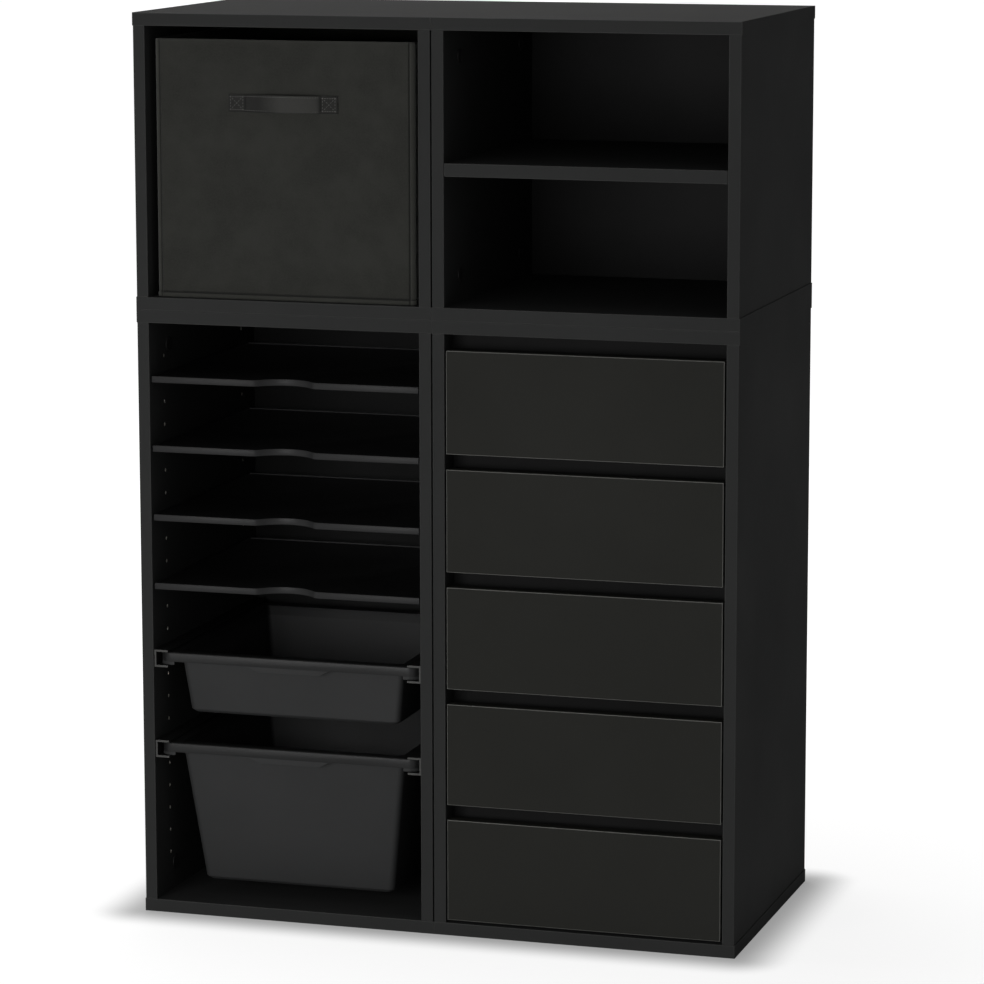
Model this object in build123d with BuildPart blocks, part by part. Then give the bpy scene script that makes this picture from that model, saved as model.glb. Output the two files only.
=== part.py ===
"""A modular craft storage unit. Two towers, one with paper trays and moulded bins and one with five drawers,
carry two open cubes, one with a fabric bin and one with a shelf. Lengths are in millimetres. The origin is on
the floor under the middle of the unit, with +X to the right, +Y to the back and +Z up.
"""

import os
from math import radians, tan

from build123d import *

os.makedirs("parts", exist_ok=True)

# The modules
module_width = 384.0
module_depth = 384.0
cube_height = 366.0
tower_height = 767.0
board = 16.0  # top and bottom boards
side_board = 15.0
side_setback = 1.0  # side boards stand in from the ends of the top and bottom
edge_ease = 0.8  # bevel round a banded front edge
back_board = 3.0
back_setback = 8.0  # from the rear edges to the back board
back_groove = 5.0
back_play = 0.2  # between the back board and each wall of its groove

# The knock-down fittings
cam_diameter = 15.0
cam_depth = 12.0
cam_distance = 34.0  # from the end of a side board to the middle of its cam
bolt_diameter = 6.0
bolt_grip = 11.0  # in the top or bottom board
dowel_diameter = 8.0
dowel_grip = 10.0  # in the top or bottom board
dowel_reach = 20.0  # in the end of the side board
fitting_inset = 64.0  # from the front and rear edges to the cams
fit_play = 0.1  # round a pin, peg, bolt or cam in its hole
bore_end = 0.5  # free depth past the end of a pin
pin_sides = 6  # round pins, cams, pegs and their holes repeat often, so they are drawn with few flats
bolt_sides = 4
stack_pin_diameter = 10.0
stack_pin_grip = 9.0
stack_pin_inset = 52.0  # from the edges of a module

# The peg holes of the tray tower
hole_diameter = 5.0
hole_depth = 10.0
hole_pitch = 29.0
first_hole = 66.0  # height above the floor
hole_top_clearance = 60.0  # least height from the top hole to the top of the tower
front_hole_setback = 50.0  # from the front edge of the side board
rear_hole_setback = 59.0  # from its rear edge
peg_reach = 8.5

# The fixed shelf
shelf_thickness = 16.0
shelf_height = 175.0  # from the cube's underside to the shelf's
shelf_play = 0.5
shelf_pin_reach = 8.0  # in the wall
shelf_pin_rest = 9.0  # under the shelf

# The drawers
drawer_count = 5
finger_gap = 19.0
top_gap = 20.0
bottom_gap = 4.0
front_thickness = 16.0
front_play = 2.3
drawer_rear_gap = 17.0  # from the rear ends of the drawer sides to the back board
drawer_side = 12.0
drawer_side_play = 2.5
side_lift = 6.0  # from the lower edge of the front to that of the sides
side_drop = 14.0  # from the top edge of the front to that of the sides
drawer_base = 3.0
base_lift = 8.0  # from the lower edge of the sides to the base
base_groove = 5.0
base_play = 0.2
runner_thickness = 12.0
runner_groove = 6.5  # depth of the groove in a drawer side
runner_lift = 45.0  # from the lower edge of the sides to the groove
runner_end = 12.0  # the runner stops this far before the rear end of the drawer
running_gap = 0.3
cross_rail_thickness = 12.0
cross_rail_setback = 36.0
cross_rail_drop = 8.0  # how far it reaches below the top edge of the front

# The paper trays
tray_holes = (1, 4, 7, 10)  # peg hole of each tray, counted down from the top hole, which is 0
tray_play = 2.0
tray_setback = 3.0
tray_rear_gap = 30.0  # to the back board
tray_base = 3.0
tray_rim = 2.5
tray_lip = 8.0  # height of the front lip
tray_lip_drop = 3.0  # how far the lip hangs below the base
tray_notch_width = 76.0
tray_notch_depth = 20.0
tray_notch_ease = 3.0
tray_rail_width = 10.0
tray_rail_height = 8.0
tray_rail_overhang = 12.0  # how far it runs on past its two pegs

# The moulded bins and their runners
bin_holes = (13, 17)  # peg hole of the shallow and of the deep bin, counted in the same way
shallow_bin_height = 80.0
bin_floor_gap = 20.0  # from the bottom board to the deep bin
bin_wall = 2.5
bin_setback = 7.0
bin_rear_gap = 26.0  # to the back board
bin_rim_height = 16.0
bin_rim_corner = 16.0
bin_rim_ease = 1.0
bin_side_play = 1.5  # between the rim and the web of the runner
bin_overhang_side = 24.0
bin_overhang_end = 13.0
tub_corner = 8.0
tub_foot = 4.0  # bevel round the foot of the tub
tub_draft = 7.0  # degrees
front_skirt = 12.0  # height of the rim's front between its ears
ear_width = 5.0
grip_top_width = 107.0
grip_bottom_width = 80.0
grip_drop = 7.0
channel_width = 18.0
channel_height = 22.0
channel_wall = 2.5
channel_setback = 3.0
channel_rear_gap = 20.0  # to the back board

# The fabric bin
cloth_bin_side_gap = 8.0
cloth_bin_rear_gap = 16.0  # to the back board
cloth_bin_head_gap = 16.0  # to the top board
cloth_bin_setback = 12.0
cloth_bin_wall = 4.0
cloth_bin_corner = 7.0
stiffener = 3.0
stiffener_play = 1.0
strap_height = 21.5
strap_thickness = 2.2
strap_patch = 22.0
strap_loop = 97.0
strap_bow = 9.0  # how far the loop stands off the cloth
strap_middle = 77.0  # from the top edge of the bin to the middle of the strap

# Worked out from the sizes above
front_y = -module_depth / 2
rear_y = module_depth / 2
opening = module_width - 2 * (side_setback + side_board)
back_y = rear_y - back_setback - back_board / 2
clear_depth = module_depth - back_setback - back_board
side_middle = module_width / 2 - side_setback - side_board / 2
fitting_ys = (front_y + fitting_inset, rear_y - fitting_inset)
left_x = -module_width / 2
right_x = module_width / 2
modules = {
    "tray_tower": (left_x, 0.0, tower_height),
    "drawer_tower": (right_x, 0.0, tower_height),
    "bin_cube": (left_x, tower_height, cube_height),
    "shelf_cube": (right_x, tower_height, cube_height),
}
hole_ys = (front_y + front_hole_setback, rear_y - rear_hole_setback)
hole_count = int((tower_height - hole_top_clearance - first_hole) / hole_pitch) + 1
hole_zs = [first_hole + hole_pitch * number for number in reversed(range(hole_count))]
shelf_low = tower_height + shelf_height
tray_walls = ((left_x - opening / 2, 1), (left_x + opening / 2, -1))
drawer_walls = ((right_x - opening / 2, 1), (right_x + opening / 2, -1))


def keep(piece, label):
    """Names the finished piece and writes it."""
    piece.part.label = label
    export_step(piece.part, f"parts/{label}.step")


def wall_plane(wall_x, inward):
    """The inner face of a side board, looking into the module. Its local x runs along +-Y, its local y up."""
    return Plane(origin=(wall_x, 0, 0), x_dir=(0, inward, 0), z_dir=(inward, 0, 0))


# ---------------------------------------------------------------- top and bottom boards
stack_spots = [
    (x, y)
    for x in (-module_width / 2 + stack_pin_inset, module_width / 2 - stack_pin_inset)
    for y in (front_y + stack_pin_inset, rear_y - stack_pin_inset)
]


def level_board(x_mid, z_low, looks, pinned):
    """A top board (looks -1) or bottom board (looks 1). Its inner face is grooved for the back board and
    drilled for the fittings, and its outer face is drilled for the stacking pins where it meets a module."""
    inner_z = z_low + board if looks > 0 else z_low
    outer_z = z_low if looks > 0 else z_low + board
    with BuildPart() as panel:
        with BuildSketch(Plane.XY.offset(z_low)):
            with Locations((x_mid, 0)):
                Rectangle(module_width, module_depth)
        extrude(amount=board)
        chamfer(panel.faces().sort_by(Axis.Y)[0].edges(), length=edge_ease)
        with BuildSketch(Plane.XY.offset(inner_z)):
            with Locations((x_mid, back_y)):
                Rectangle(opening + 2 * back_groove, back_board + 2 * back_play)
        extrude(amount=-looks * back_groove, mode=Mode.SUBTRACT)
        with BuildSketch(Plane.XY.offset(inner_z)):
            with Locations(*[(x_mid + side * side_middle, y) for side in (-1, 1) for y in fitting_ys]):
                RegularPolygon(bolt_diameter / 2 + fit_play, bolt_sides)
        extrude(amount=-looks * (bolt_grip + bore_end), mode=Mode.SUBTRACT)
        with BuildSketch(Plane.XY.offset(inner_z)):
            with Locations((x_mid - side_middle, 0), (x_mid + side_middle, 0)):
                RegularPolygon(dowel_diameter / 2 + fit_play, pin_sides)
        extrude(amount=-looks * (dowel_grip + bore_end), mode=Mode.SUBTRACT)
        if pinned:
            with BuildSketch(Plane.XY.offset(outer_z)):
                with Locations(*[(x_mid + x, y) for x, y in stack_spots]):
                    RegularPolygon(stack_pin_diameter / 2 + fit_play, pin_sides)
            extrude(amount=looks * (stack_pin_grip + bore_end), mode=Mode.SUBTRACT)
    return panel


for module, (x_mid, z_low, height) in modules.items():
    is_cube = z_low > 0
    keep(level_board(x_mid, z_low, 1, is_cube), f"{module}_bottom")
    keep(level_board(x_mid, z_low + height - board, -1, not is_cube), f"{module}_top")


# ---------------------------------------------------------------- side boards
def upright_board(wall_x, inward, z_low, height, pegs):
    """A side board between the top and bottom boards, grooved for the back board, bored for cams, bolts and
    dowels at its ends, and for the pegs of what hangs on its inner face."""
    foot = z_low + board
    length = height - 2 * board
    middle_x = wall_x - inward * side_board / 2
    with BuildPart() as panel:
        with BuildSketch(Plane.XY.offset(foot)):
            with Locations((middle_x, 0)):
                Rectangle(side_board, module_depth)
        extrude(amount=length)
        chamfer(panel.faces().sort_by(Axis.Y)[0].edges(), length=edge_ease)
        with BuildSketch(Plane.XY.offset(foot)):
            with Locations((wall_x, back_y)):
                Rectangle(2 * back_groove, back_board + 2 * back_play)
        extrude(amount=length, mode=Mode.SUBTRACT)
        with BuildSketch(wall_plane(wall_x, inward)):
            with Locations(*[(inward * y, z) for y in fitting_ys for z in cam_heights(foot, length)]):
                RegularPolygon(cam_diameter / 2 + fit_play, pin_sides)
        extrude(amount=-(cam_depth + bore_end), mode=Mode.SUBTRACT)
        for end_z, into in ((foot, 1), (foot + length, -1)):
            with BuildSketch(Plane.XY.offset(end_z)):
                with Locations(*[(middle_x, y) for y in fitting_ys]):
                    RegularPolygon(bolt_diameter / 2 + fit_play, bolt_sides)
            extrude(amount=into * cam_distance, mode=Mode.SUBTRACT)
            with BuildSketch(Plane.XY.offset(end_z)):
                with Locations((middle_x, 0)):
                    RegularPolygon(dowel_diameter / 2 + fit_play, pin_sides)
            extrude(amount=into * (dowel_reach + bore_end), mode=Mode.SUBTRACT)
        if pegs:
            with BuildSketch(wall_plane(wall_x, inward)):
                with Locations(*[(inward * y, z) for y, z in pegs]):
                    RegularPolygon(hole_diameter / 2, pin_sides)
            extrude(amount=-hole_depth, mode=Mode.SUBTRACT)
    return panel


def cam_heights(foot, length):
    """The heights of the cams near the lower and the upper end of a side board."""
    return foot + cam_distance, foot + length - cam_distance


shelf_pegs = [(y, shelf_low - hole_diameter / 2) for y in hole_ys]
pegs_of = {
    "tray_tower": [(y, z) for y in hole_ys for z in hole_zs],
    "drawer_tower": [],
    "bin_cube": [],
    "shelf_cube": shelf_pegs,
}
for module, (x_mid, z_low, height) in modules.items():
    for side, inward in (("left", 1), ("right", -1)):
        wall_x = x_mid - inward * opening / 2
        keep(upright_board(wall_x, inward, z_low, height, pegs_of[module]), f"{module}_{side}_side")

# ---------------------------------------------------------------- back boards
for module, (x_mid, z_low, height) in modules.items():
    with BuildPart() as back:
        with BuildSketch(Plane.XY.offset(z_low + board - back_groove + bore_end)):
            with Locations((x_mid, back_y)):
                Rectangle(opening + 2 * (back_groove - bore_end), back_board)
        extrude(amount=height - 2 * (board - back_groove + bore_end))
    keep(back, f"{module}_back")

# ---------------------------------------------------------------- knock-down fittings
with BuildPart() as cam_locks:
    for x_mid, z_low, height in modules.values():
        for inward in (1, -1):
            heights = cam_heights(z_low + board, height - 2 * board)
            with BuildSketch(wall_plane(x_mid - inward * opening / 2, inward)):
                with Locations(*[(inward * y, z) for y in fitting_ys for z in heights]):
                    RegularPolygon(cam_diameter / 2, pin_sides)
            extrude(amount=-cam_depth)
keep(cam_locks, "cam_locks")

with BuildPart() as cam_bolts:
    for x_mid, z_low, height in modules.values():
        for end_z, into in ((z_low + board, 1), (z_low + height - board, -1)):
            with BuildSketch(Plane.XY.offset(end_z - into * bolt_grip)):
                with Locations(*[(x_mid + side * side_middle, y) for side in (-1, 1) for y in fitting_ys]):
                    RegularPolygon(bolt_diameter / 2, bolt_sides)
            extrude(amount=into * (bolt_grip + cam_distance - cam_diameter / 2))
keep(cam_bolts, "cam_bolts")

with BuildPart() as dowels:
    for x_mid, z_low, height in modules.values():
        for end_z, into in ((z_low + board, 1), (z_low + height - board, -1)):
            with BuildSketch(Plane.XY.offset(end_z - into * dowel_grip)):
                with Locations((x_mid - side_middle, 0), (x_mid + side_middle, 0)):
                    RegularPolygon(dowel_diameter / 2, pin_sides)
            extrude(amount=into * (dowel_grip + dowel_reach))
keep(dowels, "dowels")

with BuildPart() as stacking_pins:
    for x_mid in (left_x, right_x):
        with BuildSketch(Plane.XY.offset(tower_height - stack_pin_grip)):
            with Locations(*[(x_mid + x, y) for x, y in stack_spots]):
                RegularPolygon(stack_pin_diameter / 2, pin_sides)
        extrude(amount=2 * stack_pin_grip)
keep(stacking_pins, "stacking_pins")

# ---------------------------------------------------------------- the shelf and its pins
shelf_depth = clear_depth - shelf_play
with BuildPart() as shelf:
    with BuildSketch(Plane.XY.offset(shelf_low)):
        with Locations((right_x, front_y + shelf_depth / 2)):
            Rectangle(opening - 2 * shelf_play, shelf_depth)
    extrude(amount=shelf_thickness)
    chamfer(shelf.faces().sort_by(Axis.Y)[0].edges(), length=edge_ease)
keep(shelf, "shelf_cube_shelf")

with BuildPart() as shelf_pins:
    for inward in (1, -1):
        wall_x = right_x - inward * opening / 2
        with BuildSketch(wall_plane(wall_x - inward * shelf_pin_reach, inward)):
            with Locations(*[(inward * y, z) for y, z in shelf_pegs]):
                RegularPolygon(hole_diameter / 2 - fit_play, pin_sides)
        extrude(amount=shelf_pin_reach + shelf_pin_rest)
keep(shelf_pins, "shelf_pins")

# ---------------------------------------------------------------- the drawers
front_height = (
    tower_height - 2 * board - top_gap - bottom_gap - (drawer_count - 1) * finger_gap
) / drawer_count
box_front_y = front_y + front_thickness
drawer_length = clear_depth - front_thickness - drawer_rear_gap
box_middle_y = box_front_y + drawer_length / 2
box_half = opening / 2 - drawer_side_play
inside_half = box_half - drawer_side
side_height = front_height - side_lift - side_drop
groove_height = runner_thickness + 2 * running_gap
slot_height = drawer_base + 2 * base_play


def drawer_low(number):
    """The height of the lower edge of a drawer's front, with drawer 1 at the top."""
    return board + bottom_gap + (drawer_count - number) * (front_height + finger_gap)


for number in range(1, drawer_count + 1):
    low = drawer_low(number)
    side_low = low + side_lift
    base_low = side_low + base_lift
    with BuildPart() as drawer_front:
        with BuildSketch(Plane.XY.offset(low)):
            with Locations((right_x, front_y + front_thickness / 2)):
                Rectangle(opening - 2 * front_play, front_thickness)
        extrude(amount=front_height)
        chamfer(drawer_front.faces().sort_by(Axis.Y)[0].edges(), length=edge_ease)
        with BuildSketch(Plane.XY.offset(base_low - base_play)):
            with Locations((right_x, box_front_y)):
                Rectangle(2 * (inside_half + base_groove), 2 * base_groove)
        extrude(amount=slot_height, mode=Mode.SUBTRACT)
    keep(drawer_front, f"drawer_{number}_front")

    with BuildPart() as drawer_sides:
        side_x = box_half - drawer_side / 2
        with BuildSketch(Plane.XY.offset(side_low)):
            with Locations((right_x - side_x, box_middle_y), (right_x + side_x, box_middle_y)):
                Rectangle(drawer_side, drawer_length)
        extrude(amount=side_height)
        with BuildSketch(Plane.XY.offset(side_low + runner_lift)):
            with Locations((right_x - box_half, box_middle_y), (right_x + box_half, box_middle_y)):
                Rectangle(2 * runner_groove, drawer_length)
        extrude(amount=groove_height, mode=Mode.SUBTRACT)
        with BuildSketch(Plane.XY.offset(base_low - base_play)):
            with Locations((right_x, box_middle_y)):
                Rectangle(2 * (inside_half + base_groove), drawer_length)
        extrude(amount=slot_height, mode=Mode.SUBTRACT)
    keep(drawer_sides, f"drawer_{number}_sides")

    with BuildPart() as drawer_back:
        with BuildSketch(Plane.XY.offset(base_low + drawer_base)):
            with Locations((right_x, box_front_y + drawer_length - drawer_side / 2)):
                Rectangle(2 * inside_half, drawer_side)
        extrude(amount=side_low + side_height - base_low - drawer_base)
    keep(drawer_back, f"drawer_{number}_back")

    with BuildPart() as drawer_bottom:
        base_front_y = box_front_y - base_groove + bore_end
        base_depth = drawer_length + base_groove - bore_end
        with BuildSketch(Plane.XY.offset(base_low)):
            with Locations((right_x, base_front_y + base_depth / 2)):
                Rectangle(2 * (inside_half + base_groove - bore_end), base_depth)
        extrude(amount=drawer_base)
    keep(drawer_bottom, f"drawer_{number}_bottom")

with BuildPart() as drawer_runners:
    runner_width = drawer_side_play + runner_groove - bore_end
    runner_length = drawer_length - runner_end - bore_end
    for number in range(1, drawer_count + 1):
        groove_low = drawer_low(number) + side_lift + runner_lift
        with BuildSketch(Plane.XY.offset(groove_low + running_gap)):
            for wall_x, inward in drawer_walls:
                middle = (wall_x + inward * runner_width / 2, box_front_y + bore_end + runner_length / 2)
                with Locations(middle):
                    Rectangle(runner_width, runner_length)
        extrude(amount=runner_thickness)
keep(drawer_runners, "drawer_runners")

with BuildPart() as cross_rails:
    for number in range(1, drawer_count + 1):
        rail_low = drawer_low(number) + front_height - cross_rail_drop
        rail_high = tower_height - board if number == 1 else drawer_low(number - 1)
        with BuildSketch(Plane.XY.offset(rail_low)):
            with Locations((right_x, front_y + cross_rail_setback + cross_rail_thickness / 2)):
                Rectangle(opening, cross_rail_thickness)
        extrude(amount=rail_high - rail_low)
keep(cross_rails, "drawer_tower_cross_rails")

# ---------------------------------------------------------------- the paper trays and their rails
tray_width = opening - 2 * tray_play
tray_depth = clear_depth - tray_setback - tray_rear_gap
tray_front_y = front_y + tray_setback
notch_radius = (tray_notch_width**2 / 4 + tray_notch_depth**2) / (2 * tray_notch_depth)
tray_rail_length = hole_ys[1] - hole_ys[0] + 2 * tray_rail_overhang


def tray_outline():
    """Draws the tray's outline from above, with the curved finger notch in its front edge."""
    with BuildSketch() as outline:
        with Locations((left_x, tray_front_y + tray_depth / 2)):
            Rectangle(tray_width, tray_depth)
        with Locations((left_x, tray_front_y + tray_notch_depth - notch_radius)):
            Circle(notch_radius, mode=Mode.SUBTRACT)
        mouth = outline.vertices().group_by(Axis.Y)[0].sort_by(Axis.X)[1:3]
        chamfer(mouth, length=tray_notch_ease)
    return outline.sketch


for number, hole in enumerate(tray_holes, start=1):
    base_low = hole_zs[hole] + tray_rail_height / 2 + running_gap
    lip_low = base_low - tray_lip_drop
    outline = tray_outline()
    with BuildPart() as tray:
        with BuildSketch(Plane.XY.offset(base_low)):
            add(outline)
        extrude(amount=tray_base)
        with BuildSketch(Plane.XY.offset(base_low)):
            add(outline)
            offset(amount=-tray_rim, kind=Kind.INTERSECTION, mode=Mode.SUBTRACT)
        extrude(amount=tray_lip - tray_lip_drop)
        with BuildSketch(Plane.XY.offset(lip_low)):
            add(outline)
            offset(amount=-tray_rim, kind=Kind.INTERSECTION, mode=Mode.SUBTRACT)
            with BuildSketch(mode=Mode.INTERSECT):
                with Locations((left_x, tray_front_y)):
                    Rectangle(tray_width, 2 * tray_rim)
                    Rectangle(tray_notch_width + 4 * tray_rim, 2 * (tray_notch_depth + tray_rim))
        extrude(amount=tray_lip_drop)
    keep(tray, f"paper_tray_{number}")

with BuildPart() as tray_rails:
    for hole in tray_holes:
        for wall_x, inward in tray_walls:
            with BuildSketch(Plane.XY.offset(hole_zs[hole] - tray_rail_height / 2)):
                with Locations((wall_x + inward * tray_rail_width / 2, sum(hole_ys) / 2)):
                    Rectangle(tray_rail_width, tray_rail_length)
            extrude(amount=tray_rail_height)
            with BuildSketch(wall_plane(wall_x, inward)):
                with Locations(*[(inward * y, hole_zs[hole]) for y in hole_ys]):
                    RegularPolygon(hole_diameter / 2 - fit_play, pin_sides)
            extrude(amount=-peg_reach)
keep(tray_rails, "tray_rails")

# ---------------------------------------------------------------- the moulded bins and their runners
rim_width = opening - 2 * (channel_wall + bin_side_play)
bin_rim_depth = clear_depth - bin_setback - bin_rear_gap
rim_front_y = front_y + bin_setback
rim_middle = (left_x, rim_front_y + bin_rim_depth / 2)
rim_lows = [hole_zs[hole] - channel_height / 2 + channel_wall + running_gap for hole in bin_holes]
deep_bin_height = rim_lows[1] + bin_rim_height - board - bin_floor_gap
channel_length = clear_depth - channel_setback - channel_rear_gap
tub_width = rim_width - 2 * bin_overhang_side
tub_depth = bin_rim_depth - 2 * bin_overhang_end


def tub_form(top_z, width, depth, corner, height, foot):
    """A drafted solid with rounded corners and a bevelled foot: the outside or the inside of a tub."""
    slope = tan(radians(tub_draft))
    with BuildPart() as form:
        for down, drawn_in in ((0, 0), (height - foot, 0), (height, foot)):
            inset = 2 * (down * slope + drawn_in)
            with BuildSketch(Plane.XY.offset(top_z - down)):
                with Locations(rim_middle):
                    RectangleRounded(width - inset, depth - inset, corner)
        loft(ruled=True)
    return form.part


bin_sizes = {"shallow_bin": (rim_lows[0], shallow_bin_height), "deep_bin": (rim_lows[1], deep_bin_height)}
for label, (rim_low, height) in bin_sizes.items():
    rim_top = rim_low + bin_rim_height
    skirt_low = rim_top - front_skirt
    inner_plan = (tub_width - 2 * bin_wall, tub_depth - 2 * bin_wall, tub_corner - bin_wall)
    inner_side = (height - bin_wall, tub_foot - bin_wall)
    with BuildPart() as moulded_bin:
        add(tub_form(rim_top, tub_width, tub_depth, tub_corner, height, tub_foot))
        add(tub_form(rim_top, *inner_plan, *inner_side), mode=Mode.SUBTRACT)
        # The rim: a flange with a skirt turned down all round.
        with BuildSketch(Plane.XY.offset(rim_top - bin_wall)):
            with Locations(rim_middle):
                RectangleRounded(rim_width, bin_rim_depth, bin_rim_corner)
                RectangleRounded(tub_width - bin_wall, tub_depth - bin_wall, tub_corner, mode=Mode.SUBTRACT)
        extrude(amount=bin_wall)
        with BuildSketch(Plane.XY.offset(rim_low)):
            with Locations(rim_middle):
                RectangleRounded(rim_width, bin_rim_depth, bin_rim_corner)
            offset(amount=-bin_wall, mode=Mode.SUBTRACT)
        extrude(amount=bin_rim_height)
        # The front of the skirt is lower between its two ears, and carries the grip tab.
        with BuildSketch(Plane.XZ.offset(-rim_front_y)):
            with Locations((left_x, (rim_low + skirt_low) / 2)):
                Rectangle(rim_width - 2 * (bin_rim_corner + ear_width), skirt_low - rim_low)
        extrude(amount=-bin_wall, mode=Mode.SUBTRACT)
        with BuildSketch(Plane.XZ.offset(-rim_front_y)):
            with BuildLine():
                Polyline(
                    (left_x - grip_top_width / 2, skirt_low),
                    (left_x - grip_bottom_width / 2, skirt_low - grip_drop),
                    (left_x + grip_bottom_width / 2, skirt_low - grip_drop),
                    (left_x + grip_top_width / 2, skirt_low),
                    close=True,
                )
            make_face()
        extrude(amount=-bin_wall)
        chamfer(moulded_bin.faces().sort_by(Axis.Z)[-1].outer_wire().edges(), length=bin_rim_ease)
    keep(moulded_bin, label)

with BuildPart() as bin_runners:
    channel_front_y = front_y + channel_setback
    for hole in bin_holes:
        for wall_x, inward in tray_walls:
            with BuildSketch(Plane.XZ.offset(-channel_front_y)):
                with Locations((wall_x + inward * channel_width / 2, hole_zs[hole])):
                    Rectangle(channel_width, channel_height)
                with Locations((wall_x + inward * (channel_width / 2 + channel_wall), hole_zs[hole])):
                    Rectangle(channel_width, channel_height - 2 * channel_wall, mode=Mode.SUBTRACT)
            extrude(amount=-channel_length)
            with BuildSketch(wall_plane(wall_x, inward)):
                with Locations(*[(inward * y, hole_zs[hole]) for y in hole_ys]):
                    RegularPolygon(hole_diameter / 2 - fit_play, pin_sides)
            extrude(amount=-peg_reach)
keep(bin_runners, "bin_runners")

# ---------------------------------------------------------------- the fabric bin
cloth_bin_width = opening - 2 * cloth_bin_side_gap
cloth_bin_depth = clear_depth - cloth_bin_setback - cloth_bin_rear_gap
cloth_bin_height = cube_height - 2 * board - cloth_bin_head_gap
cloth_bin_low = tower_height + board + running_gap
cloth_bin_front_y = front_y + cloth_bin_setback
cloth_bin_middle = (left_x, cloth_bin_front_y + cloth_bin_depth / 2)
with BuildPart() as fabric_bin:
    with BuildSketch(Plane.XY.offset(cloth_bin_low)):
        with Locations(cloth_bin_middle):
            RectangleRounded(cloth_bin_width, cloth_bin_depth, cloth_bin_corner)
    extrude(amount=cloth_bin_height)
    offset(amount=-cloth_bin_wall, openings=fabric_bin.faces().sort_by(Axis.Z)[-1])
keep(fabric_bin, "fabric_bin_shell")

with BuildPart() as base_board:
    with BuildSketch(Plane.XY.offset(cloth_bin_low + cloth_bin_wall)):
        with Locations(cloth_bin_middle):
            inset = 2 * (cloth_bin_wall + stiffener_play)
            corner = cloth_bin_corner - cloth_bin_wall
            RectangleRounded(cloth_bin_width - inset, cloth_bin_depth - inset, corner)
    extrude(amount=stiffener)
keep(base_board, "fabric_bin_base_board")

strap_low = cloth_bin_low + cloth_bin_height - strap_middle - strap_height / 2
strap_y = cloth_bin_front_y - strap_thickness / 2
with BuildPart() as strap:
    with BuildSketch(Plane.XY.offset(strap_low)):
        with BuildLine():
            patch_left = Line(
                (left_x - strap_loop / 2 - strap_patch, strap_y), (left_x - strap_loop / 2, strap_y)
            )
            patch_right = Line(
                (left_x + strap_loop / 2, strap_y), (left_x + strap_loop / 2 + strap_patch, strap_y)
            )
            ThreePointArc(patch_left @ 1, (left_x, strap_y - strap_bow), patch_right @ 0)
        trace(line_width=strap_thickness)
    extrude(amount=strap_height)
keep(strap, "fabric_bin_handle")
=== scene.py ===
"""The looks of a modular craft storage unit: black laminated boards, drawers, paper trays, moulded bins and a
fabric bin. Lengths are in metres. The frame has its origin on the floor, +X to the right and +Y to the back.
"""

from math import cos, exp, pi, radians, sin

import bmesh
import bpy
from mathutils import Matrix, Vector, noise


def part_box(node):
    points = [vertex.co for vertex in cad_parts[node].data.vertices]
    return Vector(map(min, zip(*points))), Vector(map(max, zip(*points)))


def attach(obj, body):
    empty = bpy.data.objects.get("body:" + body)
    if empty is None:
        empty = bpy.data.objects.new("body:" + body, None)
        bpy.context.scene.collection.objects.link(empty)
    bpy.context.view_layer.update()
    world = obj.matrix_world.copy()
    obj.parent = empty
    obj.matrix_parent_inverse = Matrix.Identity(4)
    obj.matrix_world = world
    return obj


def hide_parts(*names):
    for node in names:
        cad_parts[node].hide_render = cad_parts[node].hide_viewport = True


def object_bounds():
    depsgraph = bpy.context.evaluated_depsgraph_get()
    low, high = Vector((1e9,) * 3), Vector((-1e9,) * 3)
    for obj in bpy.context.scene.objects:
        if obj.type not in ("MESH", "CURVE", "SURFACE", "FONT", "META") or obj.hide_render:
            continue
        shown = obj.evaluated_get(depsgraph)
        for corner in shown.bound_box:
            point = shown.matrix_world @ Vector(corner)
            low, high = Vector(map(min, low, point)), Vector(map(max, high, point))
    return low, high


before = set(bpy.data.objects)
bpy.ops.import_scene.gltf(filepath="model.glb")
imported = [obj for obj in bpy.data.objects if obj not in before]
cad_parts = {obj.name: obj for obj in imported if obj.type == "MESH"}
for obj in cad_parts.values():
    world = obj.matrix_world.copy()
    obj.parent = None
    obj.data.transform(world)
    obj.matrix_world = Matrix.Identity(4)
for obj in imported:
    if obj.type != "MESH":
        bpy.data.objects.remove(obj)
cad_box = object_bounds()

# ------------------------------------------------------------ the studio
# A white floor that runs on into a white surround, which greys towards the zenith. A large soft lamp hangs
# over the unit, a low one stands in front, a strip at the right draws the edges and a weak one fills from
# behind. The camera has the photograph's height and angle, and the floor keeps the unit's shadow, with a
# painted contact shadow round its foot.
floor_reach = 60.0
floor_white = 0.50
floor_seen_white = 0.25
# the glow is low near the unit's foot, where it paints a contact shadow
floor_glow_and_painted_shadow = {0.0: 0.30, 0.075: 0.86, 1.2: 1.0}  # by how far it is from the unit's foot
surround_light = 0.14
horizon_rise, zenith_rise = 0.15, 0.6  # between these the white surround greys towards the zenith
zenith_white = 0.32
lamps = {
    "top_lamp": ((-1.0, 0.5, 4.4), 0.57, 2.0, 1.2, 66.0),
    "front_lamp": ((-0.7, -3.5, 0.7), 0.45, 2.2, 1.2, 72.0),
    "edge_lamp": ((4.2, -1.35, 1.7), 0.57, 0.25, 2.0, 1.5),
    "back_lamp": ((-1.6, 3.8, 2.2), 0.57, 2.4, 2.4, 34.0),
}  # where it stands, the height it is aimed at, its width and height, and its power
camera_place = (1.5435, -4.9449, 1.3981)
camera_pitch, camera_roll, camera_yaw = 80.44, 0.07, 17.14
camera_lens, camera_sensor = 152.05, 36.0


def add_node(tree, kind, inputs=None, **settings):
    """Adds a node to a tree. Each input is a value, or the output of another node to link from."""
    node = tree.nodes.new(kind)
    for name, value in settings.items():
        setattr(node, name, value)
    for name, value in (inputs or {}).items():
        if isinstance(value, bpy.types.NodeSocket):
            tree.links.new(value, node.inputs[name])
        else:
            node.inputs[name].default_value = value
    return node


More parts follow.
